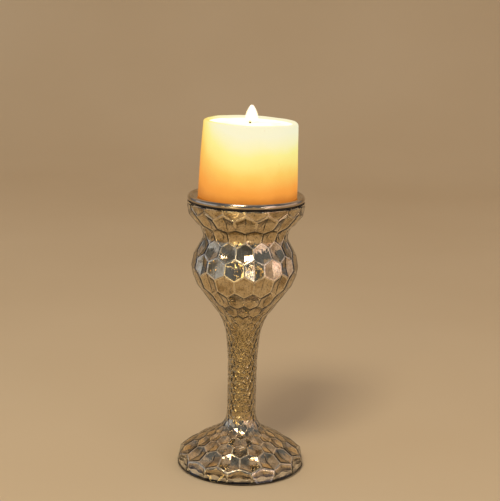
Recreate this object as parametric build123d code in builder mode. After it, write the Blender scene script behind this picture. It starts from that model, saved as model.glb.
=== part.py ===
from build123d import *
import os
from math import tan, radians

# Pedestal candle holder: a silvered, mould-blown glass body, a loose metal pan and a pillar candle.
# Millimetres. +Z is up, and the origin is the centre of the bottom face.

# --- driving dimensions: glass ---
foot_radius = 50.5
foot_band_top = 3.4          # top of the plain band around the foot
stem_radius = 11.5
stem_bottom = 44.0
stem_top = 70.0
bulb_radius = 41.3
bulb_height = 161.5
neck_radius = 32.4
neck_height = 187.5
lip_radius = 45.1
cup_full_height = 207.0      # where the flare of the cup turns upright
lip_height = 212.0
wall = 2.6
kick_up = 5.0                # how far the underside rises in the middle
kick_radius = 42.0           # outer radius of the hollow under the foot
contact_radius = 49.0        # outer radius of the ring of glass that the felt is glued to
foot_bevel = 0.8             # height of the rounded-off corner under the foot

# --- driving dimensions: lining and felt ---
lining_thickness = 0.3
lining_margin = 2.0          # bare glass left below the lip
felt_thickness = 1.0
felt_outer_radius = 48.5
felt_inner_radius = 43.0

# --- driving dimensions: pan ---
pan_radius = 45.0
pan_rim_height = 3.8         # from the underside to the top of the rolled rim
pan_rim_width = 3.4
pan_sheet = 1.2
pan_floor_rise = 1.2         # underside of the floor above the underside of the rim
gasket_thickness = 1.4
gasket_outer_radius = 44.2
gasket_inner_radius = 41.4
collar_radius = 40.3
collar_sheet = 1.0
collar_depth = 7.5           # how far the collar reaches below the lip

# --- driving dimensions: candle ---
candle_radius = 38.0
candle_top_radius = 36.0
candle_height = 58.0
candle_offset = 0.8          # the candle stands a little off the middle of the pan
candle_lean = 1.4            # degrees to +X
candle_shoulder = 2.0
crater_radius = 33.5
crater_depth = 3.6
wick_radius = 1.1
wick_length_above = 7.0      # wick standing above the bottom of the crater
tab_radius = 8.0
tab_thickness = 0.6
tab_recess = 1.5             # wax below the tab

# --- derived places ---
pan_underside = lip_height + gasket_thickness
pan_floor_top = pan_underside + pan_floor_rise + pan_sheet
candle_bottom = pan_floor_top
candle_top = candle_bottom + candle_height
lean_shift = candle_height * tan(radians(candle_lean))
crater_floor = candle_top - crater_depth

os.makedirs("parts", exist_ok=True)


# The outside of the glass from the cup down to the foot, in stretches that join where it runs upright.
upright = (0, -1)
foot_slope = (0.08, -1)
stretches = [
    [(lip_radius, cup_full_height), (41.2, 198.5), (34.7, 192.1), (neck_radius, neck_height)],
    [(neck_radius, neck_height), (36.3, 176.7), (bulb_radius, bulb_height)],
    [(bulb_radius, bulb_height), (36.8, 147.0), (25.0, 131.0), (14.7, 112.5), (12.5, 96.5), (stem_radius, stem_top)],
    [(stem_radius, stem_top), (stem_radius, stem_bottom)],
    [(stem_radius, stem_bottom), (14.3, 33.0), (32.8, 21.0), (45.5, 12.5), (foot_radius, foot_band_top)],
]


def side_curves(inset):
    """The stretches as point lists, moved square to the outside of the glass by inset."""
    curves = []
    for stretch in stretches:
        last_slope = foot_slope if stretch is stretches[-1] else upright
        outside = Spline(*stretch, tangents=(upright, last_slope))
        moved = []
        for point in stretch:
            direction = outside.tangent_at(outside.param_at_point(point))
            moved.append((point[0] + direction.Y * inset, point[1] - direction.X * inset))
        curves.append((moved, last_slope))
    return curves


def half_section(curves, foot_corners, floor_height, top):
    """Half section from the axis outwards: level top, curved side, foot corners and a raised middle."""
    first_point = curves[0][0][0]
    last_point = curves[-1][0][-1]
    with BuildSketch(Plane.XZ) as section:
        with BuildLine():
            Polyline((0, top), (first_point[0], top), first_point)
            for points, last_slope in curves:
                Spline(*points, tangents=(upright, last_slope))
            Polyline(last_point, *foot_corners, (kick_radius, floor_height))
            Spline(
                (kick_radius, floor_height),
                (0, floor_height + kick_up),
                tangents=((-1, 0.35), (-1, 0)),
            )
            Line((0, floor_height + kick_up), (0, top))
        make_face()
    return section.sketch


def outer_section():
    """Half section of everything inside the outer surface of the glass."""
    corners = [(foot_radius, felt_thickness + foot_bevel), (contact_radius, felt_thickness)]
    return half_section(side_curves(0), corners, felt_thickness, lip_height)


def inner_section(inset, top):
    """Half section of the space left when the outer surface is pulled in by inset."""
    floor_height = felt_thickness + inset
    curves = side_curves(inset)
    curves[-1][0][-1] = (contact_radius - inset, floor_height)
    return half_section(curves, [], floor_height, top)


lining_top = lip_height - lining_margin
glass_outside = outer_section()
glass_inside = inner_section(wall, lip_height)
lining_outside = inner_section(wall, lining_top)
lining_inside = inner_section(wall + lining_thickness, lining_top)

# --- glass body: one blown shell, open at the mouth, with a hollow underside ---
with BuildPart() as glass_body:
    with BuildSketch(Plane.XZ):
        add(glass_outside)
        add(glass_inside, mode=Mode.SUBTRACT)
    revolve(axis=Axis.Z)
    lip_edges = glass_body.edges().filter_by(GeomType.CIRCLE).group_by(Axis.Z)[-1]
    fillet(lip_edges, radius=0.6)
glass_body.part.label = "glass_body"
export_step(glass_body.part, "parts/glass_body.step")

# --- silver lining: the mirror coat on the inner wall, ending just below the lip ---
with BuildPart() as silver_lining:
    with BuildSketch(Plane.XZ):
        add(lining_outside)
        add(lining_inside, mode=Mode.SUBTRACT)
    revolve(axis=Axis.Z)
silver_lining.part.label = "silver_lining"
export_step(silver_lining.part, "parts/silver_lining.step")

# --- felt ring under the foot ---
with BuildPart() as base_felt:
    with BuildSketch(Plane.XY):
        Circle(felt_outer_radius)
        Circle(felt_inner_radius, mode=Mode.SUBTRACT)
    extrude(amount=felt_thickness)
base_felt.part.label = "base_felt"
export_step(base_felt.part, "parts/base_felt.step")

# --- candle pan: spun sheet with a rolled rim around a shallow raised floor ---
with BuildPart() as candle_pan:
    with BuildSketch(Plane.XZ):
        with Locations((pan_radius - pan_rim_width / 2, pan_underside + pan_rim_height / 2)):
            RectangleRounded(pan_rim_width, pan_rim_height, radius=pan_rim_width / 2 - 0.1)
        with Locations((0, pan_floor_top - pan_sheet / 2)):
            Rectangle(pan_radius - pan_rim_width / 2, pan_sheet, align=(Align.MIN, Align.CENTER))
    revolve(axis=Axis.Z)
candle_pan.part.label = "candle_pan"
export_step(candle_pan.part, "parts/candle_pan.step")

# --- collar: a short tube under the pan's floor that centres the pan in the mouth ---
with BuildPart() as pan_collar:
    collar_bottom = lip_height - collar_depth
    with BuildSketch(Plane.XY.offset(collar_bottom)):
        Circle(collar_radius)
        Circle(collar_radius - collar_sheet, mode=Mode.SUBTRACT)
    extrude(amount=pan_floor_top - pan_sheet - collar_bottom)
    low_edges = pan_collar.edges().group_by(Axis.Z)[0]
    chamfer(low_edges, length=collar_sheet / 3)
pan_collar.part.label = "pan_collar"
export_step(pan_collar.part, "parts/pan_collar.step")

# --- gasket ring between the pan's rim and the lip of the glass ---
with BuildPart() as rim_gasket:
    with BuildSketch(Plane.XY.offset(lip_height)):
        Circle(gasket_outer_radius)
        Circle(gasket_inner_radius, mode=Mode.SUBTRACT)
    extrude(amount=gasket_thickness)
rim_gasket.part.label = "rim_gasket"
export_step(rim_gasket.part, "parts/rim_gasket.step")

# --- wick tab: a thin metal disc with a short neck that grips the wick ---
wick_axis_x = candle_offset + lean_shift / 2
with BuildPart() as wick_tab:
    tab_bottom = candle_bottom + tab_recess
    with BuildSketch(Plane.XY.offset(tab_bottom)):
        with Locations((wick_axis_x, 0)):
            Circle(tab_radius)
    extrude(amount=tab_thickness)
    with BuildSketch(Plane.XY.offset(tab_bottom + tab_thickness)):
        with Locations((wick_axis_x, 0)):
            Circle(wick_radius + 0.7)
            Circle(wick_radius, mode=Mode.SUBTRACT)
    extrude(amount=3.0)
wick_tab.part.label = "wick_tab"
export_step(wick_tab.part, "parts/wick_tab.step")

# --- wick: straight through the wax from the tab to above the melted hollow ---
with BuildPart() as candle_wick:
    with BuildSketch(Plane.XY.offset(tab_bottom + tab_thickness)):
        with Locations((wick_axis_x, 0)):
            Circle(wick_radius)
    extrude(amount=crater_floor + wick_length_above - tab_bottom - tab_thickness)
    fillet(candle_wick.edges().group_by(Axis.Z)[-1], radius=wick_radius / 2)
candle_wick.part.label = "candle_wick"
export_step(candle_wick.part, "parts/candle_wick.step")

# --- candle: a slightly tapered, slightly leaning cylinder with a melted hollow in its top ---
with BuildPart() as candle_wax:
    with BuildSketch(Plane.XY.offset(candle_bottom)):
        with Locations((candle_offset, 0)):
            Circle(candle_radius)
    with BuildSketch(Plane.XY.offset(candle_top)):
        with Locations((candle_offset + lean_shift, 0)):
            Circle(candle_top_radius)
    loft()
    fillet(candle_wax.edges().group_by(Axis.Z)[-1], radius=candle_shoulder)
    with BuildSketch(Plane.XZ.move(Location((candle_offset + lean_shift, 0, 0)))):
        with BuildLine():
            Line((0, crater_floor), (crater_radius * 0.6, crater_floor))
            Spline(
                (crater_radius * 0.6, crater_floor),
                (crater_radius, candle_top + 1),
                tangents=((1, 0), (0.35, 1)),
            )
            Line((crater_radius, candle_top + 1), (0, candle_top + 1))
            Line((0, candle_top + 1), (0, crater_floor))
        make_face()
    crater_axis = Axis((candle_offset + lean_shift, 0, 0), (0, 0, 1))
    revolve(axis=crater_axis, mode=Mode.SUBTRACT)
    add(wick_tab.part, mode=Mode.SUBTRACT)
    add(candle_wick.part, mode=Mode.SUBTRACT)
candle_wax.part.label = "candle_wax"
export_step(candle_wax.part, "parts/candle_wax.step")
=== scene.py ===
import math

import bmesh
import bpy
import numpy as np
from mathutils import Matrix, Vector, noise
from mathutils.bvhtree import BVHTree


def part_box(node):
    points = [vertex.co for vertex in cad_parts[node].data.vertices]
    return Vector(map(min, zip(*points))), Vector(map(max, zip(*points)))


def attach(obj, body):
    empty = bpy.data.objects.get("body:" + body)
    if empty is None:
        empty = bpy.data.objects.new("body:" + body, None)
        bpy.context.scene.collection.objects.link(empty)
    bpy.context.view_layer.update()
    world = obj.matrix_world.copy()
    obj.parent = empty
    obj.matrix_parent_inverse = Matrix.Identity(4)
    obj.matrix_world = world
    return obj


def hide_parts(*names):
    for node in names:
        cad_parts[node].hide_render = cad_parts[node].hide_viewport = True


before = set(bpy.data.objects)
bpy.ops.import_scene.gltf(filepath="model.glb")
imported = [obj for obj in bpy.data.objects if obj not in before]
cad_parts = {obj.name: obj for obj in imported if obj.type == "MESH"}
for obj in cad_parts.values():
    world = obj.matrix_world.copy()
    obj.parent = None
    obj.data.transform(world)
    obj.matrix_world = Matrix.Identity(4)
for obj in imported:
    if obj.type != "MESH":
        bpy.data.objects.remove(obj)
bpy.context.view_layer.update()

MM = 0.001

# --- places read from the frame ---
glass_low, glass_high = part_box("glass_body")
pan_low, pan_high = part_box("candle_pan")
gasket_low, gasket_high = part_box("rim_gasket")
collar_low, collar_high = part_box("pan_collar")
wax_low, wax_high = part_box("candle_wax")
wick_low, wick_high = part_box("candle_wick")

LIP_HEIGHT = glass_high.z
FOOT_RADIUS = glass_high.x
GLASS_FLOOR = glass_low.z
PAN_RADIUS = pan_high.x
WAX_BOTTOM = wax_low.z
WAX_TOP = wax_high.z
WAX_RADIUS = (wax_high.y - wax_low.y) / 2

# --- glass: driving sizes ---
CELLS_AROUND = 16
CELL = 2 * math.pi / CELLS_AROUND          # width of a cell, as an angle round the axis
ROW = CELL * math.sqrt(3) / 2              # from one row of hexagons to the next
WAIST_ROW_HEIGHT = 166.2 * MM              # the row of cells round the widest part of the bulb
ROWS_BELOW = 28
ROWS_ABOVE = 5
WALL = 1.6 * MM
COAT_GAP = 0.04 * MM
COAT_THICKNESS = 0.25 * MM
BAND_TOP = 2.1 * MM                        # top of the plain band round the foot
FACET_TOP = LIP_HEIGHT - 1.8 * MM          # the facets stop short of the lip
# How deep the cells are pressed, up the height: deepest round the foot's edge and the cup.
RELIEF_HEIGHTS = [17 * MM, 24 * MM, 42 * MM, 104 * MM, 124 * MM, 188 * MM, 198 * MM]
RELIEF = [1.25, 0.65, 0.85, 0.85, 1.0, 1.0, 1.35]
COLLAR_CLEARANCE = 1.8 * MM                # the collar stays clear of the hollows in the coat
INNER_FLOOR = 2.5 * MM                     # top of the glass inside the foot
KICK_RADIUS = 42 * MM
KICK_UP = 5 * MM
# How much taller than a regular hexagon the cells are, up the height of the glass.
STRETCH_HEIGHTS = [0, 15 * MM, 24 * MM, 35 * MM, 120 * MM, 128 * MM, 146 * MM, 158 * MM, LIP_HEIGHT]
STRETCH = [1.0, 1.0, 0.9, 1.18, 1.18, 1.30, 1.30, 1.02, 1.04]
OUTLINE_START = GLASS_FLOOR + 0.9 * MM     # the outline is read between these two heights
OUTLINE_END = LIP_HEIGHT - 1.0 * MM
OUTLINE_STEP = 0.2 * MM
OUTLINE_WINDOW = 9                         # readings that are averaged, an odd number
LIP_FADE = 0.9 * MM                        # the facets flatten out over this height below the lip
LIP_ROUND = 0.4 * MM
STEM_FADE_IN = (32 * MM, 50 * MM)          # where the stem's own finish begins, above the foot
STEM_FADE_OUT = (104 * MM, 134 * MM)       # and where it ends, below the bulb
MERGE_DISTANCE = 0.01 * MM                 # points closer than this become one

# --- one cell of the honeycomb, laid flat: all in radians round the axis ---
# Width and depth of each step from a cell's ridge down to its facets.
RIM_STEPS = [(0.009, 0.0012), (0.012, 0.0050)]
RIM_DEPTH = sum(depth for _, depth in RIM_STEPS)
FACET_DEPTH = 0.046       # from the foot of the ridge to the crease in the cell's middle
CELL_DEPTH = RIM_DEPTH + FACET_DEPTH
MIDDLE_DEPTH = RIM_DEPTH + 0.001   # anything deeper belongs to a cell's middle
UNEVEN = 0.016            # how far a cell's middle wanders
UNEVEN_SEED = 5           # fixes the wander, which otherwise changes from run to run
UNEVEN_RIDGE = 0.25       # the share of it that the ridges get
UNEVEN_DEPTH = 0.4        # the share of it that goes into the depth
WANDER_TURN = 7.3         # how quickly it changes round the glass
WANDER_RISE = 0.8         # and up the glass, against round it
SKIRT_ROW = -27           # the row of cells that makes the skirt round the foot, two flat panels each
SKIRT_DROP = 0.16         # how far the skirt's lower edges are drawn down, below the cut
SKIRT_EDGE = 0.03         # all that lies lower than this, counted from the row's middle, is drawn down
CELL_MERGE = 1e-4         # points of neighbouring cells that are closer than this become one

# ------------------------------------------------------------------ mesh helpers

def nothing_selected():
    if bpy.context.object and bpy.context.object.mode != "OBJECT":
        bpy.ops.object.mode_set(mode="OBJECT")
    bpy.ops.object.select_all(action="DESELECT")


def made(name):
    """Names the object just added and returns it."""
    obj = bpy.context.object
    obj.name = name
    obj.data.name = name
    return obj


def edit(obj, mode="VERT"):
    """Opens a piece in edit mode with nothing selected."""
    nothing_selected()
    obj.select_set(True)
    bpy.context.view_layer.objects.active = obj
    bpy.ops.object.mode_set(mode="EDIT")
    bpy.ops.mesh.select_mode(type=mode)
    bpy.ops.mesh.select_all(action="DESELECT")


def done():
    bpy.ops.object.mode_set(mode="OBJECT")


def select_edges(obj, test):
    """Selects the edges that pass the test on their two ends, in edit mode."""
    mesh = bmesh.from_edit_mesh(obj.data)
    for edge in mesh.edges:
        edge.select_set(bool(test(edge.verts[0].co, edge.verts[1].co)))
    mesh.select_flush_mode()
    bmesh.update_edit_mesh(obj.data)


def select_rim(obj, test):
    """Selects the open edges whose two ends pass the test, in edit mode."""
    mesh = bmesh.from_edit_mesh(obj.data)
    for edge in mesh.edges:
        edge.select_set(edge.is_boundary and all(test(vert.co) for vert in edge.verts))
    mesh.select_flush_mode()
    bmesh.update_edit_mesh(obj.data)


def draw_ring(obj, radius, height):
    """Extrudes the selected open ring of edges and lays it on a circle round the axis."""
    bpy.ops.mesh.extrude_edges_move()
    mesh = bmesh.from_edit_mesh(obj.data)
    for vert in mesh.verts:
        if vert.select:
            across = Vector((vert.co.x, vert.co.y)).normalized() * radius
            vert.co = (across.x, across.y, height)
    bmesh.update_edit_mesh(obj.data)


def draw_rings(obj, rings):
    """Draws the selected open ring through a run of (radius, height); radius 0 closes it on the axis."""
    for radius, height in rings:
        if radius > 0:
            draw_ring(obj, radius, height)
        else:
            close_on_axis(obj, height)


def close_on_axis(obj, height):
    """Extrudes the selected open ring and draws it together to one point on the axis."""
    bpy.ops.mesh.extrude_edges_move()
    bpy.ops.mesh.merge(type="CENTER")
    mesh = bmesh.from_edit_mesh(obj.data)
    for vert in mesh.verts:
        if vert.select:
            vert.co = (0, 0, height)
    bmesh.update_edit_mesh(obj.data)


def copied(obj, name):
    """A copy of a piece with a mesh of its own."""
    twin = obj.copy()
    twin.data = obj.data.copy()
    twin.name = name
    twin.data.name = name
    bpy.context.collection.objects.link(twin)
    return twin


def apply_modifiers(obj):
    nothing_selected()
    obj.select_set(True)
    bpy.context.view_layer.objects.active = obj
    for modifier in list(obj.modifiers):
        bpy.ops.object.modifier_apply(modifier=modifier.name)


def smooth(obj, degrees):
    """Shades a piece smooth, apart from edges that turn by more than the angle."""
    nothing_selected()
    obj.select_set(True)
    bpy.context.view_layer.objects.active = obj
    bpy.ops.object.shade_smooth_by_angle(angle=math.radians(degrees))


def smooth_all(obj):
    """Shades every face smooth; only the edges marked sharp stay crisp."""
    nothing_selected()
    obj.select_set(True)
    bpy.context.view_layer.objects.active = obj
    bpy.ops.object.shade_smooth()


def outward(obj):
    """Turns all faces of a closed piece outwards."""
    edit(obj)
    bpy.ops.mesh.select_all(action="SELECT")
    bpy.ops.mesh.normals_make_consistent(inside=False)
    done()


# ------------------------------------------------------------------ outline of the glass

def read_outline():
    """Heights and radii of the outside of the blown glass, from the band to the lip."""
    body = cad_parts["glass_body"]
    surface = BVHTree.FromObject(body, bpy.context.evaluated_depsgraph_get())
    heights = np.arange(OUTLINE_START, OUTLINE_END, OUTLINE_STEP)
    radii = []
    for height in heights:
        start = Vector((2 * FOOT_RADIUS, 0, height))
        radii.append(surface.ray_cast(start, Vector((-1, 0, 0)))[0].x)
    window = np.ones(OUTLINE_WINDOW) / OUTLINE_WINDOW
    padded = np.pad(np.array(radii), OUTLINE_WINDOW // 2, mode="edge")
    return heights, np.convolve(padded, window, "valid")


HEIGHTS, RADII = read_outline()
SLOPES = np.gradient(RADII, HEIGHTS)


def way_up():
    """Distance up the outline, counted in radians of its own radius, so that a hexagon keeps its shape."""
    steps = np.hypot(np.diff(HEIGHTS), np.diff(RADII))
    taller = np.interp(HEIGHTS, STRETCH_HEIGHTS, STRETCH)
    return np.concatenate([[0], np.cumsum(steps / (RADII * taller)[1:])])


WAY = way_up()


def way_at(height):
    """Where a height lies on that way."""
    return float(np.interp(height, HEIGHTS, WAY))


# ------------------------------------------------------------------ honeycomb

def is_crease(a, b):
    """Whether an edge is the foot of the ridge or the crease down the middle of the cell."""
    in_hollow = max(a.z, b.z) < -RIM_DEPTH + CELL_MERGE
    level = abs(a.z - b.z) < CELL_MERGE
    middle = abs(a.x) + abs(b.x) < CELL_MERGE
    return in_hollow and (level or middle)


def flat_cell():
    """One cell, laid flat: a rounded ridge round a hollow that has a crease down its middle. In radians."""
    nothing_selected()
    bpy.ops.mesh.primitive_circle_add(vertices=6, radius=CELL / math.sqrt(3), fill_type="NGON")
    cell = made("cell")
    edit(cell, "FACE")
    bpy.ops.mesh.select_all(action="SELECT")
    for thickness, depth in RIM_STEPS:
        bpy.ops.mesh.inset(thickness=thickness, depth=-depth)
    bpy.ops.mesh.poke(offset=-FACET_DEPTH)
    bpy.ops.mesh.select_mode(type="EDGE")
    select_edges(cell, is_crease)
    bpy.ops.mesh.mark_sharp()
    done()
    return cell


def repeated(obj, count, step):
    """Repeats a piece in a straight line and joins the copies where they meet."""
    modifier = obj.modifiers.new("repeat", "ARRAY")
    modifier.count = count
    modifier.use_relative_offset = False
    modifier.use_constant_offset = True
    modifier.constant_offset_displace = step
    modifier.use_merge_vertices = True
    modifier.merge_threshold = CELL_MERGE
    apply_modifiers(obj)


def cut_level(obj, way, keep_above):
    """Cuts the flat sheet straight across and drops the part above or below the cut."""
    edit(obj)
    bpy.ops.mesh.select_all(action="SELECT")
    bpy.ops.mesh.bisect(
        plane_co=(0, way, 0), plane_no=(0, 1, 0), clear_inner=keep_above, clear_outer=not keep_above
    )
    done()


def uneven(sheet):
    """Moves each cell's middle a little, so that no two cells catch the light alike."""
    skirt_middle = way_at(WAIST_ROW_HEIGHT) + SKIRT_ROW * ROW
    noise.seed_set(UNEVEN_SEED)
    for vert in sheet.data.vertices:
        co = vert.co
        place = Vector((math.cos(co.x), math.sin(co.x), WANDER_RISE * co.y)) * WANDER_TURN
        drift = noise.noise_vector(place)
        in_middle = co.z < -MIDDLE_DEPTH
        if co.y < skirt_middle + SKIRT_EDGE:
            co.y -= SKIRT_DROP
            if in_middle:
                co.z = -RIM_DEPTH
        reach = UNEVEN if in_middle else UNEVEN * UNEVEN_RIDGE
        co.x += drift.x * reach
        co.y += drift.y * reach
        co.z += drift.z * reach * UNEVEN_DEPTH


def flat_honeycomb():
    """The whole pattern as a flat sheet: x runs round the glass and y up it, both in radians."""
    sheet = flat_cell()
    sheet.name = "honeycomb"
    upper = copied(sheet, "upper_row")
    upper.data.transform(Matrix.Translation((CELL / 2, ROW, 0)))
    nothing_selected()
    upper.select_set(True)
    sheet.select_set(True)
    bpy.context.view_layer.objects.active = sheet
    bpy.ops.object.join()
    repeated(sheet, CELLS_AROUND, (CELL, 0, 0))
    repeated(sheet, (ROWS_BELOW + ROWS_ABOVE + 1) // 2, (0, 2 * ROW, 0))
    sheet.data.transform(Matrix.Translation((CELL / 2, way_at(WAIST_ROW_HEIGHT) - ROWS_BELOW * ROW, 0)))
    uneven(sheet)
    cut_level(sheet, way_at(BAND_TOP), keep_above=True)
    cut_level(sheet, way_at(FACET_TOP), keep_above=False)
    return sheet


def rolled(sheet, name, inset):
    """Rolls the flat sheet round the outline, pulled in by inset, and keeps how deep each point lies."""
    skin = copied(sheet, name)
    count = len(skin.data.vertices)
    flat = np.empty(count * 3)
    skin.data.vertices.foreach_get("co", flat)
    flat = flat.reshape(-1, 3)
    height = np.interp(flat[:, 1], WAY, HEIGHTS)
    radius = np.interp(height, HEIGHTS, RADII)
    slope = np.interp(height, HEIGHTS, SLOPES)
    length = np.hypot(1, slope)
    lip_fade = np.clip((FACET_TOP - height) / LIP_FADE, 0, 1)
    relief = lip_fade * np.interp(height, RELIEF_HEIGHTS, RELIEF)
    sink = flat[:, 2] * radius * relief - inset
    radius = radius + sink / length
    height = height - sink * slope / length
    turn = flat[:, 0]
    places = np.stack([radius * np.sin(turn), -radius * np.cos(turn), height], axis=1)
    skin.data.vertices.foreach_set("co", places.ravel())
    dip = skin.data.attributes.new("dip", "FLOAT", "POINT")
    dip.data.foreach_set("value", (-flat[:, 2] / CELL_DEPTH).clip(0, 1))
    skin.data.update()
    edit(skin)
    bpy.ops.mesh.select_all(action="SELECT")
    bpy.ops.mesh.remove_doubles(threshold=MERGE_DISTANCE)
    done()
    return skin


def raised_middle(floor):
    """Rings that raise the middle of the foot's underside and close it on the axis."""
    rings = [(KICK_RADIUS * share, floor + KICK_UP * (1 - share ** 2)) for share in (0.8, 0.6, 0.4, 0.2)]
    return rings + [(0, floor + KICK_UP)]


def close_foot_inside(skin, floor):
    """Cuts the skin level at the floor inside the foot and closes it with a raised middle."""
    edit(skin, "EDGE")
    bpy.ops.mesh.select_all(action="SELECT")
    bpy.ops.mesh.bisect(plane_co=(0, 0, floor), plane_no=(0, 0, 1), clear_inner=True)
    select_rim(skin, lambda co: co.z < floor + 0.1 * MM)
    draw_rings(skin, [(KICK_RADIUS + 2 * MM, floor)] + raised_middle(floor))
    done()


def in_lip(co):
    """Whether a point lies in the last rows under the lip."""
    return co.z > FACET_TOP - 1 * MM


def blown_glass(sheet):
    """The clear wall: facets outside and inside, a rounded lip and a hollow underside."""
    glass = rolled(sheet, "blown_glass", 0)
    edit(glass, "EDGE")
    select_rim(glass, lambda co: co.z < 3 * BAND_TOP)
    band = FOOT_RADIUS - 0.3 * MM
    rings = [(band, BAND_TOP - 0.3 * MM), (band, GLASS_FLOOR + 0.5 * MM)]
    rings += [(band - 0.4 * MM, GLASS_FLOOR + 0.1 * MM), (band - 1.2 * MM, GLASS_FLOOR)]
    rings += [(KICK_RADIUS, GLASS_FLOOR)]
    draw_rings(glass, rings + raised_middle(GLASS_FLOOR))
    outside = float(RADII[-1])
    inner = outside - WALL
    select_rim(glass, in_lip)
    rings = [(outside, LIP_HEIGHT - LIP_ROUND), (outside - 0.1 * MM, LIP_HEIGHT - 0.1 * MM)]
    rings += [(outside - LIP_ROUND, LIP_HEIGHT), (inner + LIP_ROUND, LIP_HEIGHT)]
    rings += [(inner + 0.1 * MM, LIP_HEIGHT - 0.1 * MM)]
    draw_rings(glass, rings)
    done()
    inside = rolled(sheet, "inside", WALL)
    close_foot_inside(inside, INNER_FLOOR)
    nothing_selected()
    inside.select_set(True)
    glass.select_set(True)
    bpy.context.view_layer.objects.active = glass
    bpy.ops.object.join()
    edit(glass, "EDGE")
    select_rim(glass, lambda co: True)
    bpy.ops.mesh.bridge_edge_loops()
    done()
    outward(glass)
    smooth_all(glass)
    return glass


def mirror_coat(sheet):
    """The silver on the inside of the glass, as a thin closed skin of its own."""
    coat = rolled(sheet, "silver_coat", WALL + COAT_GAP)
    close_foot_inside(coat, INNER_FLOOR + COAT_GAP)
    edit(coat, "EDGE")
    select_rim(coat, in_lip)
    draw_ring(coat, float(RADII[-1]) - WALL - COAT_GAP, LIP_HEIGHT - 0.3 * MM)
    done()
    outward_from_axis(coat)
    thickness = coat.modifiers.new("thickness", "SOLIDIFY")
    thickness.thickness = COAT_THICKNESS
    thickness.offset = -1
    apply_modifiers(coat)
    smooth_all(coat)
    return coat


def outward_from_axis(obj):
    """Turns an open skin so that its faces look away from the axis."""
    outward(obj)
    probe = max(obj.data.polygons, key=lambda face: face.center.x)
    if probe.normal.x < 0:
        edit(obj)
        bpy.ops.mesh.select_all(action="SELECT")
        bpy.ops.mesh.flip_normals()
        done()


# ------------------------------------------------------------------ materials

def linear(hex_colour):
    """An sRGB hex colour as linear RGBA."""
    parts = [int(hex_colour[i:i + 2], 16) / 255 for i in (1, 3, 5)]
    return [c / 12.92 if c <= 0.04045 else ((c + 0.055) / 1.055) ** 2.4 for c in parts] + [1.0]


def node(tree, kind, settings=None, stops=(), **inputs):
    """Adds a node, sets its properties and colour stops, and fills or links its inputs by name or number."""
    added = tree.nodes.new(kind)
    for key, value in (settings or {}).items():
        setattr(added, key, value)
    for _ in stops[2:]:
        added.color_ramp.elements.new(1.0)
    for index, (place, colour) in enumerate(stops):
        added.color_ramp.elements[index].position = place
        added.color_ramp.elements[index].color = linear(colour)
    for key, value in inputs.items():
        key = int(key[1:]) if key[0] == "_" else key.replace("_", " ")
        if isinstance(value, bpy.types.NodeSocket):
            tree.links.new(value, added.inputs[key])
        else:
            added.inputs[key].default_value = value
    return added


def new_material(name):
    """An empty material, its nodes, and the place on the piece that its patterns are laid out by."""
    material = bpy.data.materials.new(name)
    material.use_nodes = True
    tree = material.node_tree
    tree.nodes.clear()
    place = node(tree, "ShaderNodeTexCoord").outputs["Object"]
    return material, tree, place


def paint(obj, *materials):
    obj.data.materials.clear()
    for material in materials:
        obj.data.materials.append(material)


def clear_glass():
    """Soda-lime glass blown in a mould: clear and glossy, with a faint warm tint and a slightly wavy skin."""
    material, tree, place = new_material("blown_soda_glass")
    waves = node(tree, "ShaderNodeTexNoise", Vector=place, Scale=1 / (6 * MM), Detail=1.0)
    bump = node(tree, "ShaderNodeBump", Height=waves.outputs["Fac"], Strength=0.15, Distance=0.1 * MM)
    shader = node(
        tree, "ShaderNodeBsdfPrincipled",
        Base_Color=linear("#FBF6EA"), Roughness=0.02, IOR=1.5, Transmission_Weight=1.0,
        Normal=bump.outputs["Normal"],
    )
    node(tree, "ShaderNodeOutputMaterial", Surface=shader.outputs["BSDF"])
    return material


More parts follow.
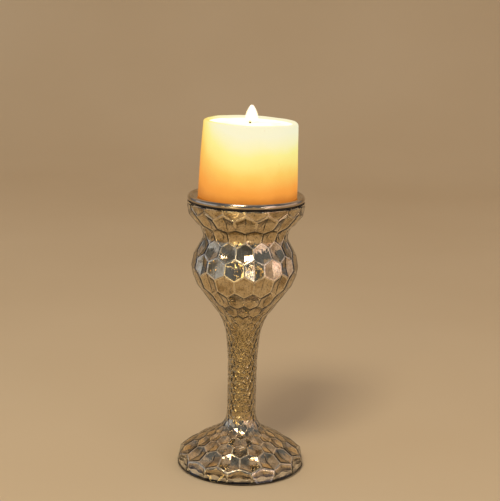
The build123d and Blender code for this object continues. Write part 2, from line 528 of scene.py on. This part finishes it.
def aged_silvering():
    """Wet-chemical silver on glass, aged: a warm mirror, cloudy and flecked, frosted along the ridges, where
    a paler tone is painted on as a highlight.
    """
    material, tree, place = new_material("aged_silvering")
    cloud = node(tree, "ShaderNodeTexNoise", Vector=place, Scale=1 / (9 * MM), Detail=4.0, Roughness=0.6)
    tone = node(
        tree, "ShaderNodeValToRGB", stops=[(0.36, "#A08C64"), (0.48, "#CCBEA2"), (0.66, "#E0D8C8")],
        Fac=cloud.outputs["Fac"],
    ).outputs["Color"]
    height = node(tree, "ShaderNodeSeparateXYZ", Vector=place).outputs["Z"]
    above = node(
        tree, "ShaderNodeMapRange", {"clamp": True},
        Value=height, From_Min=STEM_FADE_IN[0], From_Max=STEM_FADE_IN[1],
    ).outputs["Result"]
    below = node(
        tree, "ShaderNodeMapRange", {"clamp": True},
        Value=height, From_Min=STEM_FADE_OUT[1], From_Max=STEM_FADE_OUT[0],
    ).outputs["Result"]
    stem = node(tree, "ShaderNodeMath", {"operation": "MULTIPLY"}, _0=above, _1=below).outputs["Value"]
    olive = node(tree, "ShaderNodeMath", {"operation": "MULTIPLY"}, _0=stem, _1=0.7).outputs["Value"]
    tone = node(
        tree, "ShaderNodeMix", {"data_type": "RGBA"}, Factor=olive, _6=tone, _7=linear("#CDC092")
    ).outputs[2]
    fleck = node(tree, "ShaderNodeTexNoise", Vector=place, Scale=1 / (1.1 * MM), Detail=3.0, Roughness=0.65)
    worn = node(
        tree, "ShaderNodeMath", {"operation": "MULTIPLY_ADD"}, _0=stem, _1=0.09, _2=fleck.outputs["Fac"]
    ).outputs["Value"]
    fleck_mask = node(
        tree, "ShaderNodeMapRange", {"clamp": True},
        Value=worn, From_Min=0.57, From_Max=0.65, To_Max=0.8,
    ).outputs["Result"]
    dip = node(tree, "ShaderNodeAttribute", {"attribute_name": "dip"}).outputs["Fac"]
    ridge_mask = node(
        tree, "ShaderNodeMapRange", {"clamp": True},
        Value=dip, From_Min=0.13, From_Max=0.02, To_Min=0.0, To_Max=1.0,
    ).outputs["Result"]
    level = node(
        tree, "ShaderNodeMapRange", {"clamp": True}, Value=height, From_Min=0.0, From_Max=LIP_HEIGHT
    ).outputs["Result"]
    # The ridges' frosting and their painted highlight are strong on the foot and the bulb, and weaker on the
    # stem and the cup.
    highlight_and_frost = node(
        tree, "ShaderNodeValToRGB",
        stops=[
            (0.10, "#FFFFFF"), (0.16, "#8A8A8A"), (0.62, "#8A8A8A"), (0.71, "#FFFFFF"),
            (0.85, "#FFFFFF"), (0.92, "#B8B8B8"),
        ],
        Fac=level,
    ).outputs["Color"]
    ridge_mask = node(
        tree, "ShaderNodeMath", {"operation": "MULTIPLY"}, _0=ridge_mask, _1=highlight_and_frost
    ).outputs["Value"]
    # Painted highlight: the ridges are mixed towards a near-white tone, so that they read as bright lines.
    bright = node(
        tree, "ShaderNodeMix", {"data_type": "RGBA"}, Factor=ridge_mask, _6=tone, _7=linear("#F4EDDF")
    ).outputs[2]
    colour = node(
        tree, "ShaderNodeMix", {"data_type": "RGBA"}, Factor=fleck_mask, _6=bright, _7=linear("#3A2A16")
    ).outputs[2]
    rough = node(
        tree, "ShaderNodeMapRange", Value=ridge_mask, To_Min=0.05, To_Max=0.28
    ).outputs["Result"]
    waves = node(tree, "ShaderNodeTexNoise", Vector=place, Scale=1 / (5 * MM), Detail=2.0)
    broad = node(tree, "ShaderNodeBump", Height=waves.outputs["Fac"], Strength=1.0, Distance=0.5 * MM)
    grain = node(tree, "ShaderNodeTexNoise", Vector=place, Scale=1 / (2.2 * MM), Detail=1.0)
    grainy = node(
        tree, "ShaderNodeMath", {"operation": "MULTIPLY"}, _0=grain.outputs["Fac"], _1=stem
    ).outputs["Value"]
    bump = node(
        tree, "ShaderNodeBump", Height=grainy, Strength=1.0, Distance=0.5 * MM, Normal=broad.outputs["Normal"]
    )
    shader = node(
        tree, "ShaderNodeBsdfPrincipled", Base_Color=colour, Metallic=1.0, Roughness=rough,
        Normal=bump.outputs["Normal"],
    )
    node(tree, "ShaderNodeOutputMaterial", Surface=shader.outputs["BSDF"])
    return material


def plated_steel():
    """Spun steel, nickel plated and polished: a warm mirror, blurred a little here and there."""
    material, tree, place = new_material("polished_nickel_plate")
    smear = node(tree, "ShaderNodeTexNoise", Vector=place, Scale=1 / (9 * MM), Detail=3.0)
    rough = node(
        tree, "ShaderNodeMapRange", Value=smear.outputs["Fac"], From_Min=0.3, From_Max=0.7,
        To_Min=0.10, To_Max=0.20,
    ).outputs["Result"]
    tone = node(
        tree, "ShaderNodeValToRGB", stops=[(0.3, "#B5A48E"), (0.7, "#C9BBA6")], Fac=smear.outputs["Fac"]
    ).outputs["Color"]
    shader = node(tree, "ShaderNodeBsdfPrincipled", Base_Color=tone, Metallic=1.0, Roughness=rough)
    node(tree, "ShaderNodeOutputMaterial", Surface=shader.outputs["BSDF"])
    return material


def dark_silicone():
    """Black silicone ring: soft, dull, with a little dust in its skin."""
    material, tree, place = new_material("dark_silicone")
    dust = node(tree, "ShaderNodeTexNoise", Vector=place, Scale=1 / (0.8 * MM), Detail=2.0)
    tone = node(
        tree, "ShaderNodeValToRGB", stops=[(0.4, "#120D08"), (0.75, "#241B12")], Fac=dust.outputs["Fac"]
    ).outputs["Color"]
    shader = node(tree, "ShaderNodeBsdfPrincipled", Base_Color=tone, Roughness=0.6)
    node(tree, "ShaderNodeOutputMaterial", Surface=shader.outputs["BSDF"])
    return material


def pressed_felt():
    """Pressed wool felt: matt, dark brown, with short matted fibres."""
    material, tree, place = new_material("pressed_felt")
    fibres = node(tree, "ShaderNodeTexNoise", Vector=place, Scale=1 / (0.5 * MM), Detail=5.0, Roughness=0.7)
    tone = node(
        tree, "ShaderNodeValToRGB", stops=[(0.35, "#2B1F17"), (0.7, "#4A382B")], Fac=fibres.outputs["Fac"]
    ).outputs["Color"]
    bump = node(tree, "ShaderNodeBump", Height=fibres.outputs["Fac"], Strength=0.8, Distance=0.2 * MM)
    shader = node(
        tree, "ShaderNodeBsdfPrincipled", Base_Color=tone, Roughness=0.95, Sheen_Weight=0.4,
        Normal=bump.outputs["Normal"],
    )
    node(tree, "ShaderNodeOutputMaterial", Surface=shader.outputs["BSDF"])
    return material


def glowing_wax():
    """Paraffin wax lit from within: orange at the foot, through yellow, to nearly white at the top."""
    material, tree, place = new_material("glowing_paraffin_wax")
    apart = node(tree, "ShaderNodeSeparateXYZ", Vector=place)
    patches = node(tree, "ShaderNodeTexNoise", Vector=place, Scale=1 / (16 * MM), Detail=3.0)
    drift = node(
        tree, "ShaderNodeMapRange", Value=patches.outputs["Fac"], To_Min=-3 * MM, To_Max=3 * MM
    ).outputs["Result"]
    level = node(
        tree, "ShaderNodeMath", {"operation": "ADD"}, _0=apart.outputs["Z"], _1=drift
    ).outputs["Value"]
    share = node(
        tree, "ShaderNodeMapRange", {"clamp": False}, Value=level, From_Min=WAX_BOTTOM, From_Max=WAX_TOP
    ).outputs["Result"]
    # Thin wax at the edges glows deeper, and most of all on the left, away from the leaning wick.
    edge = node(tree, "ShaderNodeLayerWeight", Blend=0.5).outputs["Facing"]
    left = node(
        tree, "ShaderNodeMapRange", {"clamp": True}, Value=apart.outputs["X"],
        From_Min=WAX_RADIUS, From_Max=-WAX_RADIUS, To_Max=-0.65,
    ).outputs["Result"]
    deeper = node(tree, "ShaderNodeMath", {"operation": "MULTIPLY"}, _0=edge, _1=left).outputs["Value"]
    share = node(
        tree, "ShaderNodeMath", {"operation": "MULTIPLY_ADD"}, _0=deeper, _1=share, _2=share
    ).outputs["Value"]
    share = node(
        tree, "ShaderNodeMath", {"operation": "MULTIPLY_ADD"}, _0=edge, _1=-0.05, _2=share
    ).outputs["Value"]
    glow = node(
        tree, "ShaderNodeValToRGB",
        stops=[
            (0.00, "#C87422"), (0.09, "#F39833"), (0.15, "#FBA33C"), (0.21, "#FBB34B"), (0.34, "#FED162"),
            (0.47, "#FEEF87"), (0.60, "#FDFC9D"), (0.72, "#FBFFCA"), (0.85, "#F7FFDF"),
        ],
        Fac=share,
    ).outputs["Color"]
    speck = node(tree, "ShaderNodeTexNoise", Vector=place, Scale=1 / (1.6 * MM), Detail=2.0)
    speck_mask = node(
        tree, "ShaderNodeMapRange", {"clamp": True},
        Value=speck.outputs["Fac"], From_Min=0.70, From_Max=0.78, To_Min=0.0, To_Max=0.35,
    ).outputs["Result"]
    glow = node(
        tree, "ShaderNodeMix", {"data_type": "RGBA"}, Factor=speck_mask, _6=glow, _7=linear("#B9802E")
    ).outputs[2]
    skin = node(tree, "ShaderNodeTexNoise", Vector=place, Scale=1 / (2.5 * MM), Detail=3.0)
    bump = node(tree, "ShaderNodeBump", Height=skin.outputs["Fac"], Strength=0.25, Distance=0.3 * MM)
    shader = node(
        tree, "ShaderNodeBsdfPrincipled",
        Base_Color=linear("#8A6838"), Roughness=0.5, IOR=1.44, Specular_IOR_Level=0.3,
        Emission_Color=glow, Emission_Strength=0.80, Normal=bump.outputs["Normal"],
    )
    node(tree, "ShaderNodeOutputMaterial", Surface=shader.outputs["BSDF"])
    return material


def molten_wax():
    """Melted paraffin round the wick: a wet, level, glowing pool."""
    material, tree, place = new_material("molten_paraffin")
    ripple = node(tree, "ShaderNodeTexNoise", Vector=place, Scale=1 / (12 * MM), Detail=1.0)
    glow = node(
        tree, "ShaderNodeValToRGB", stops=[(0.3, "#FFF3B8"), (0.7, "#FFFBE0")], Fac=ripple.outputs["Fac"]
    ).outputs["Color"]
    shader = node(
        tree, "ShaderNodeBsdfPrincipled",
        Base_Color=linear("#F2DDA8"), Roughness=0.06, IOR=1.44,
        Emission_Color=glow, Emission_Strength=1.3,
    )
    node(tree, "ShaderNodeOutputMaterial", Surface=shader.outputs["BSDF"])
    return material


def charred_cotton():
    """Braided cotton wick, burnt: black and crumbly, with an ember at its tip."""
    material, tree, place = new_material("charred_cotton")
    apart = node(tree, "ShaderNodeSeparateXYZ", Vector=place)
    ember = node(
        tree, "ShaderNodeMapRange", {"clamp": True},
        Value=apart.outputs["Z"], From_Min=wick_high.z - 1.5 * MM, From_Max=wick_high.z,
    ).outputs["Result"]
    glow = node(
        tree, "ShaderNodeValToRGB", stops=[(0.0, "#000000"), (1.0, "#FF7A20")], Fac=ember
    ).outputs["Color"]
    char = node(tree, "ShaderNodeTexNoise", Vector=place, Scale=1 / (0.4 * MM), Detail=3.0)
    tone = node(
        tree, "ShaderNodeValToRGB", stops=[(0.35, "#0D0A08"), (0.7, "#2A211A")], Fac=char.outputs["Fac"]
    ).outputs["Color"]
    bump = node(tree, "ShaderNodeBump", Height=char.outputs["Fac"], Strength=0.8, Distance=0.2 * MM)
    shader = node(
        tree, "ShaderNodeBsdfPrincipled", Base_Color=tone, Roughness=0.9,
        Emission_Color=glow, Emission_Strength=2.0, Normal=bump.outputs["Normal"],
    )
    node(tree, "ShaderNodeOutputMaterial", Surface=shader.outputs["BSDF"])
    return material


def candle_flame():
    """Burning wax vapour: white-hot in the body, yellow towards its foot."""
    material, tree, place = new_material("candle_flame")
    apart = node(tree, "ShaderNodeSeparateXYZ", Vector=place)
    share = node(
        tree, "ShaderNodeMapRange", {"clamp": True},
        Value=apart.outputs["Z"], From_Min=FLAME_BOTTOM, From_Max=FLAME_TOP,
    ).outputs["Result"]
    glow = node(
        tree, "ShaderNodeValToRGB", stops=[(0.0, "#FFD27A"), (0.25, "#FFF4CC"), (1.0, "#FFFFF4")], Fac=share
    ).outputs["Color"]
    edge = node(tree, "ShaderNodeLayerWeight", Blend=0.5).outputs["Facing"]
    solid = node(
        tree, "ShaderNodeMapRange", {"clamp": True}, Value=edge, From_Min=1.0, From_Max=0.0
    ).outputs["Result"]
    solid = node(tree, "ShaderNodeMath", {"operation": "POWER"}, _0=solid, _1=3.0).outputs["Value"]
    shader = node(
        tree, "ShaderNodeBsdfPrincipled", Base_Color=linear("#FFF6DC"), Roughness=1.0,
        Emission_Color=glow, Emission_Strength=1.6, Alpha=solid,
    )
    node(tree, "ShaderNodeOutputMaterial", Surface=shader.outputs["BSDF"])
    return material


def plain_floor():
    """Matt painted studio sweep in a pale sand colour."""
    material, tree, place = new_material("studio_sweep")
    mottle = node(tree, "ShaderNodeTexNoise", Vector=place, Scale=3.0, Detail=2.0)
    tone = node(
        tree, "ShaderNodeValToRGB", stops=[(0.3, "#DAC6A2"), (0.7, "#DECBA8")], Fac=mottle.outputs["Fac"]
    ).outputs["Color"]
    shader = node(tree, "ShaderNodeBsdfPrincipled", Base_Color=tone, Roughness=0.85)
    node(tree, "ShaderNodeOutputMaterial", Surface=shader.outputs["BSDF"])
    return material


# ------------------------------------------------------------------ pan and gasket

def lathe_piece(name, start_radius, start_height, rings, segments=128):
    """Starts from a circle and draws it through a closed run of (radius, height) rings."""
    nothing_selected()
    bpy.ops.mesh.primitive_circle_add(
        vertices=segments, radius=start_radius, location=(0, 0, start_height), fill_type="NOTHING"
    )
    bpy.ops.object.transform_apply(location=True, rotation=True, scale=True)
    piece = made(name)
    edit(piece, "EDGE")
    bpy.ops.mesh.select_all(action="SELECT")
    draw_rings(piece, rings)
    done()
    return piece


PAN_SHEET = 1.2 * MM
RIM_WIDTH = 3.4 * MM           # from the pan's edge in to its floor
RIM_CURL = 0.81                # radius of the rim's shallow roll, against the rim's height
CURL_TOP = 52                  # the roll's two ends, in degrees from outwards, turning up
CURL_FOOT = -20
PAN_CENTRE = 12 * MM           # the flat middle of the pan's floor
GASKET_WIDTH = 2.8 * MM
COLLAR_SHEET = 1.0 * MM


def arc_rings(centre_radius, centre_height, radius, start, end, count):
    """Rings along an arc of the section, angles in degrees from outwards, turning up."""
    rings = []
    for step in range(count + 1):
        angle = math.radians(start + (end - start) * step / count)
        rings.append((centre_radius + radius * math.cos(angle), centre_height + radius * math.sin(angle)))
    return rings


def spun_pan():
    """The pan: a flat raised floor, a step up to a rolled rim, and the rim's curl back underneath."""
    curl = (pan_high.z - pan_low.z) * RIM_CURL
    curl_height = pan_low.z + curl * math.sin(math.radians(-CURL_FOOT)) + 0.25 * MM
    rim_inside = PAN_RADIUS - RIM_WIDTH
    under = WAX_BOTTOM - PAN_SHEET
    rings = [(rim_inside - 1.5 * MM, WAX_BOTTOM), (rim_inside - 0.4 * MM, WAX_BOTTOM + 0.3 * MM)]
    rings += [(rim_inside + 0.1 * MM, pan_high.z - 0.5 * MM)]
    rings += [(rim_inside + 0.6 * MM, pan_high.z - 0.1 * MM), (rim_inside + 1.1 * MM, pan_high.z)]
    rings += arc_rings(PAN_RADIUS - curl, curl_height, curl, CURL_TOP, CURL_FOOT, 10)
    rings += [(PAN_RADIUS - 0.5 * MM, pan_low.z), (rim_inside + 0.6 * MM, pan_low.z)]
    rings += [(rim_inside, pan_low.z + 0.4 * MM), (rim_inside - 0.3 * MM, under)]
    rings += [(rim_inside - 3 * MM, under), (PAN_CENTRE, under), (0, under)]
    pan = lathe_piece("spun_pan", PAN_CENTRE, WAX_BOTTOM, rings)
    edit(pan, "EDGE")
    select_rim(pan, lambda co: True)
    close_on_axis(pan, WAX_BOTTOM)
    done()
    outward(pan)
    smooth(pan, 50)
    return pan


def closed_tube(name, outer, inner, low, high, soften):
    """A ring with a rectangular section and softened corners."""
    rings = [
        (outer - soften, low), (outer, low + soften), (outer, high - soften), (outer - soften, high),
        (inner + soften, high), (inner, high - soften), (inner, low + soften), (inner + soften, low),
    ]
    tube = lathe_piece(name, inner + soften, low, rings)
    edit(tube)
    bpy.ops.mesh.select_all(action="SELECT")
    bpy.ops.mesh.remove_doubles(threshold=MERGE_DISTANCE)
    done()
    outward(tube)
    smooth(tube, 40)
    return tube


# ------------------------------------------------------------------ candle

CANDLE_HEIGHT = WAX_TOP - WAX_BOTTOM
CANDLE_FOOT_X = (wax_low.x + wax_high.x) / 2
CANDLE_TOP_RADIUS = WAX_RADIUS * 36 / 38
CANDLE_LEAN = math.radians(1.4)
CANDLE_LEAN_X = CANDLE_HEIGHT * math.tan(CANDLE_LEAN)
CANDLE_TOP_X = CANDLE_FOOT_X + CANDLE_LEAN_X
TOP_TILT = CANDLE_LEAN         # the top stays square to the leaning candle
TAPER_EASE = 1.3               # the taper grows towards the top
SHOULDER = 2.0 * MM
SIDE_RINGS = 14
CRATER_RADIUS = 33.5 * MM
CRATER_DEPTH = 3.6 * MM
POOL_DROP = 1.9 * MM           # from the top of the wax down to the edge of the pool
HAND_POURED = 0.35 * MM        # how uneven the candle's side is
WICK_STRANDS = 3
STRAND_RADIUS = 0.62 * MM
BRAID_RADIUS = 0.45 * MM
BRAID_PITCH = 4 * MM
WICK_RINGS = 96
WICK_TIP = 0.07                # the share of the wick that is burnt, bent over and thinner
WICK_BEND = 1.2 * MM
WICK_THINNING = 0.35
FLAME_BOTTOM = WAX_TOP - 2.0 * MM
FLAME_TOP = WAX_TOP + 12.5 * MM
FLAME_RADIUS = 5.6 * MM
FLAME_FULLNESS = 0.62          # a smaller number makes the flame fuller, and widest lower down
FLAME_TAPER = 0.1
FLAME_RINGS = 24


def pillar_candle():
    """A poured pillar: slightly tapered and leaning, round shouldered, with a melted hollow in its top."""
    side_foot = WAX_BOTTOM + 0.6 * MM
    side_top = WAX_TOP - SHOULDER
    rings = [(WAX_RADIUS - 0.3 * MM, WAX_BOTTOM + 0.1 * MM), (WAX_RADIUS, side_foot)]
    for step in range(1, SIDE_RINGS + 1):
        share = step / SIDE_RINGS
        radius = WAX_RADIUS + (CANDLE_TOP_RADIUS - WAX_RADIUS) * share ** TAPER_EASE
        rings.append((radius, side_foot + (side_top - side_foot) * share))
    rings += arc_rings(CANDLE_TOP_RADIUS - SHOULDER, side_top, SHOULDER, 10, 90, 8)
    floor = WAX_TOP - CRATER_DEPTH
    rings += [(CRATER_RADIUS, WAX_TOP - 0.5 * MM), (CRATER_RADIUS - 1.5 * MM, WAX_TOP - 2.0 * MM)]
    rings += [(CRATER_RADIUS - 4 * MM, floor + 0.3 * MM), (CRATER_RADIUS - 9 * MM, floor)]
    rings += [(14 * MM, floor), (6 * MM, floor), (0, floor)]
    candle = lathe_piece("pillar_candle", WAX_RADIUS - 0.9 * MM, WAX_BOTTOM, rings)
    edit(candle, "EDGE")
    select_rim(candle, lambda co: True)
    close_on_axis(candle, WAX_BOTTOM)
    done()
    outward(candle)
    lean(candle, hand_poured=HAND_POURED)
    smooth(candle, 60)
    return candle


def lean(obj, hand_poured=0.0):
    """Leans a candle piece with the candle, and makes it as uneven as hand-poured wax is."""
    for vert in obj.data.vertices:
        co = vert.co
        share = (co.z - WAX_BOTTOM) / CANDLE_HEIGHT
        if hand_poured and share > 0.02:
            wave = noise.noise(Vector((co.x, co.y, co.z * 0.6)) / (26 * MM))
            ripple = noise.noise(Vector((co.x, co.y, co.z)) / (9 * MM))
            out = Vector((co.x, co.y, 0)).normalized()
            co += out * hand_poured * (wave + 0.35 * ripple) * min(1, share * 4)
            if share > 0.9:
                co.z += 1.3 * hand_poured * noise.noise(Vector((co.x, co.y, 0.05)) / (15 * MM))
        co.x += CANDLE_FOOT_X + CANDLE_LEAN_X * share
        co.z -= (co.x - CANDLE_TOP_X) * math.tan(TOP_TILT) * max(0.0, share)


def melt_pool():
    """The melted wax in the hollow: a thin round lens with a raised edge where it clings to the wall."""
    level = WAX_TOP - POOL_DROP
    floor = WAX_TOP - CRATER_DEPTH + 0.05 * MM
    rings = [
        (CRATER_RADIUS - 9.0 * MM, floor), (CRATER_RADIUS - 4.2 * MM, floor + 0.3 * MM),
        (CRATER_RADIUS - 1.65 * MM, level), (CRATER_RADIUS - 2.2 * MM, level - 0.15 * MM),
        (CRATER_RADIUS - 4.0 * MM, level - 0.3 * MM), (12 * MM, level - 0.3 * MM),
        (4 * MM, level - 0.25 * MM), (0, level - 0.2 * MM),
    ]
    pool = lathe_piece("melt_pool", 6 * MM, floor, rings, segments=96)
    edit(pool, "EDGE")
    select_rim(pool, lambda co: True)
    close_on_axis(pool, floor)
    done()
    outward(pool)
    lean(pool)
    smooth(pool, 50)
    return pool


def braided_wick():
    """The wick: three plied strands, bent over a little at the burnt end."""
    strands = []
    height = wick_high.z - wick_low.z
    middle = (wick_low.x + wick_high.x) / 2
    for strand in range(WICK_STRANDS):
        nothing_selected()
        bpy.ops.mesh.primitive_circle_add(vertices=8, radius=STRAND_RADIUS, fill_type="NGON")
        piece = made(f"strand_{strand}")
        edit(piece, "FACE")
        bpy.ops.mesh.select_all(action="SELECT")
        for _ in range(WICK_RINGS):
            bpy.ops.mesh.extrude_region_move(TRANSFORM_OT_translate={"value": (0, 0, height / WICK_RINGS)})
        done()
        for vert in piece.data.vertices:
            co = vert.co
            share = co.z / height
            angle = 2 * math.pi * (strand / WICK_STRANDS + co.z / BRAID_PITCH)
            tip = max(0.0, share - 1 + WICK_TIP) / WICK_TIP
            taper = 1 - WICK_THINNING * tip
            bend = WICK_BEND * tip ** 2
            co.x = (co.x + BRAID_RADIUS * math.cos(angle)) * taper + bend + middle
            co.y = (co.y + BRAID_RADIUS * math.sin(angle)) * taper
            co.z += wick_low.z
        outward(piece)
        strands.append(piece)
    nothing_selected()
    for piece in strands:
        piece.select_set(True)
    bpy.context.view_layer.objects.active = strands[0]
    bpy.ops.object.join()
    wick = made("braided_wick")
    smooth(wick, 50)
    return wick


def teardrop_flame():
    """The flame: a teardrop, widest low down and drawn out to a fine tip."""
    tall = FLAME_TOP - FLAME_BOTTOM
    rings = []
    for step in range(1, FLAME_RINGS):
        share = step / FLAME_RINGS
        width = math.sin(math.pi * share ** FLAME_FULLNESS) ** FLAME_FULLNESS * (1 - FLAME_TAPER * share)
        rings.append((FLAME_RADIUS * width, FLAME_BOTTOM + tall * share))
    rings.append((0, FLAME_TOP))
    flame = lathe_piece("flame", 0.3 * MM, FLAME_BOTTOM, rings, segments=32)
    edit(flame, "EDGE")
    select_rim(flame, lambda co: True)
    close_on_axis(flame, FLAME_BOTTOM)
    done()
    outward(flame)
    for vert in flame.data.vertices:
        vert.co.x += CANDLE_TOP_X + 0.4 * MM
    smooth(flame, 60)
    return flame


# ------------------------------------------------------------------ making

sheet = flat_honeycomb()
glass = blown_glass(sheet)
coat = mirror_coat(sheet)
bpy.data.objects.remove(sheet)
paint(glass, clear_glass())
paint(coat, aged_silvering())

nickel = plated_steel()
pan = spun_pan()
paint(pan, nickel)
collar = closed_tube(
    "locating_collar", collar_high.x - COLLAR_CLEARANCE, collar_high.x - COLLAR_CLEARANCE - COLLAR_SHEET,
    collar_low.z, collar_high.z, 0.25 * MM,
)
paint(collar, nickel)
gasket = closed_tube(
    "seal_ring", gasket_high.x, gasket_high.x - GASKET_WIDTH, gasket_low.z, gasket_high.z, 0.35 * MM
)
paint(gasket, dark_silicone())
paint(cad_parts["base_felt"], pressed_felt())
paint(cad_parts["wick_tab"], nickel)

candle = pillar_candle()
paint(candle, glowing_wax())
pool = melt_pool()
paint(pool, molten_wax())
wick = braided_wick()
paint(wick, charred_cotton())
flame = teardrop_flame()
paint(flame, candle_flame())

for piece, body, slot, replaced in (
    (glass, "holder", "glass", "glass_body"),
    (coat, "holder", "silvering", "silver_lining"),
    (pan, "pan", "pan_metal", "candle_pan"),
    (collar, "pan", "pan_metal", "pan_collar"),
    (gasket, "pan", "gasket", "rim_gasket"),
    (candle, "candle", "wax", "candle_wax"),
    (pool, "candle", "wax", None),
    (wick, "candle", "wick", "candle_wick"),
    (flame, "candle", "wick", None),
):
    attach(piece, body)
    if replaced:
        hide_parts(replaced)


# ------------------------------------------------------------------ studio

SWEEP_SIZE = 4.0               # metres
SWEEP_HEIGHT = 2.6
SWEEP_BEND = 0.7               # radius of the bend from floor to backdrop
FLOOR_DROP = 0.2 * MM          # keeps the floor clear of the felt's underside


def at_back(a, b):
    """Whether an edge lies along the back of the sweep."""
    return min(a.y, b.y) > SWEEP_SIZE / 2 - 0.1


def studio_sweep():
    """A floor that curves up into a backdrop."""
    nothing_selected()
    bpy.ops.mesh.primitive_plane_add(size=SWEEP_SIZE, location=(0, 0, -FLOOR_DROP))
    bpy.ops.object.transform_apply(location=True)
    sweep = made("studio_sweep")
    edit(sweep, "EDGE")
    select_edges(sweep, at_back)
    bpy.ops.mesh.extrude_edges_move(TRANSFORM_OT_translate={"value": (0, 0, SWEEP_HEIGHT)})
    select_edges(sweep, lambda a, b: at_back(a, b) and max(a.z, b.z) < 0)
    bpy.ops.mesh.bevel(offset=SWEEP_BEND, segments=12, affect="EDGES")
    done()
    smooth(sweep, 60)
    paint(sweep, plain_floor())


LIGHT_AIM = Vector((0, 0, 0.14))     # half-way up the object


def panel(name, turn, rise, distance, size, radiance, colour):
    """A soft light facing the glass: turn and rise are degrees from the front and from the level."""
    data = bpy.data.lights.new(name, "AREA")
    data.shape = "RECTANGLE"
    data.size, data.size_y = size
    data.energy = radiance * math.pi * size[0] * size[1]
    data.color = linear(colour)[:3]
    lamp = bpy.data.objects.new(name, data)
    bpy.context.collection.objects.link(lamp)
    turn, rise = math.radians(turn), math.radians(rise)
    away = Vector((math.sin(turn) * math.cos(rise), -math.cos(turn) * math.cos(rise), math.sin(rise)))
    lamp.location = LIGHT_AIM + away * distance
    lamp.rotation_euler = away.to_track_quat("Z", "Y").to_euler()
    lamp.visible_camera = False


# Each lamp or card that the silvering mirrors: name, turn, rise, distance, (width, height), radiance, colour.
PANELS = [
    ("key_box", -18, 54, 1.8, (0.50, 0.40), 22.0, "#FFEFD8"),
    ("fill_top", 10, 80, 1.9, (1.60, 1.30), 0.36, "#FFD8AC"),
    ("back_fill", 180, 55, 1.9, (3.00, 1.70), 0.25, "#FFCF94"),
    ("back_left", -135, 35, 1.9, (1.60, 1.40), 0.21, "#FFCF94"),
    ("back_right", 135, 35, 1.9, (1.60, 1.40), 0.21, "#FFCF94"),
    ("rose_box", 49, 18, 1.8, (0.66, 1.00), 1.2, "#FFE4E0"),
    ("cool_box", -86, 8, 1.8, (1.90, 1.00), 0.60, "#D4DDF4"),
    ("tan_box", 89, 8, 1.8, (1.90, 1.00), 0.60, "#F4CFB4"),
    ("brown_box", -50, 16, 1.9, (0.60, 0.80), 0.18, "#D8B888"),
    ("gold_lamp_middle", 14, 8, 1.6, (0.10, 0.20), 2.4, "#FFD88A"),
    ("gold_lamp_left", -45, 7, 1.6, (0.12, 0.10), 8.0, "#FFD070"),
    ("gold_window", -22, 30, 1.7, (0.16, 1.10), 2.0, "#FFE6B4"),
    ("gold_lamp_high", -28, 6, 1.6, (0.20, 0.26), 5.0, "#FFE6A8"),
    ("low_gold_strip", -20, -2, 1.6, (0.80, 0.08), 2.6, "#FFE9B8"),
    ("low_white_box", 41, 0, 1.6, (0.34, 0.26), 1.7, "#FFE8E4"),
    ("low_rose_box", 60, 0, 1.6, (0.46, 0.26), 0.9, "#FFCDBE"),
    ("low_gold_card", -21, -10, 0.55, (0.13, 0.05), 2.4, "#FFE4A8"),
    ("low_white_card", 40, -10, 0.55, (0.10, 0.05), 2.2, "#FFF2EA"),
    ("white_lamp_right", 32, 10, 1.6, (0.12, 0.16), 8.0, "#FFF2E4"),
]


def studio_light():
    """Dim cool air for the reflections; the camera itself sees a plain pale surround."""
    world = bpy.data.worlds.new("studio_air")
    world.use_nodes = True
    tree = world.node_tree
    tree.nodes.clear()
    air = node(tree, "ShaderNodeBackground", Color=linear("#ACB2C0"), Strength=0.42)
    surround = node(tree, "ShaderNodeBackground", Color=linear("#D8C6A6"), Strength=0.55)
    seen = node(tree, "ShaderNodeLightPath").outputs["Is Camera Ray"]
    both = node(
        tree, "ShaderNodeMixShader", _0=seen, _1=air.outputs["Background"], _2=surround.outputs["Background"]
    )
    node(tree, "ShaderNodeOutputWorld", Surface=both.outputs["Shader"])
    bpy.context.scene.world = world
    for settings in PANELS:
        panel(*settings)


SENSOR_WIDTH = 36.0            # millimetres, as the camera's own units are
FOCAL_OVER_WIDTH = 2.5         # focal length against the width of the picture
CAMERA_DISTANCE = 942 * MM
CAMERA_HEIGHT = 381.6 * MM
CAMERA_SIDE = 3.8 * MM
CAMERA_PITCH = math.radians(12.47)
CAMERA_ROLL = math.radians(1.42)


def set_camera():
    """The camera stands higher than the candle, looks down on the foot and is slightly rolled."""
    data = bpy.data.cameras.new("camera")
    data.sensor_fit = "HORIZONTAL"
    data.sensor_width = SENSOR_WIDTH
    data.lens = SENSOR_WIDTH * FOCAL_OVER_WIDTH
    data.clip_start = 0.01
    camera = bpy.data.objects.new("camera", data)
    bpy.context.collection.objects.link(camera)
    turn = Matrix.Rotation(math.pi / 2 - CAMERA_PITCH, 4, "X") @ Matrix.Rotation(CAMERA_ROLL, 4, "Z")
    camera.matrix_world = Matrix.Translation((CAMERA_SIDE, -CAMERA_DISTANCE, CAMERA_HEIGHT)) @ turn
    bpy.context.scene.camera = camera


studio_sweep()
studio_light()
set_camera()
bpy.context.scene.view_settings.view_transform = "Standard"
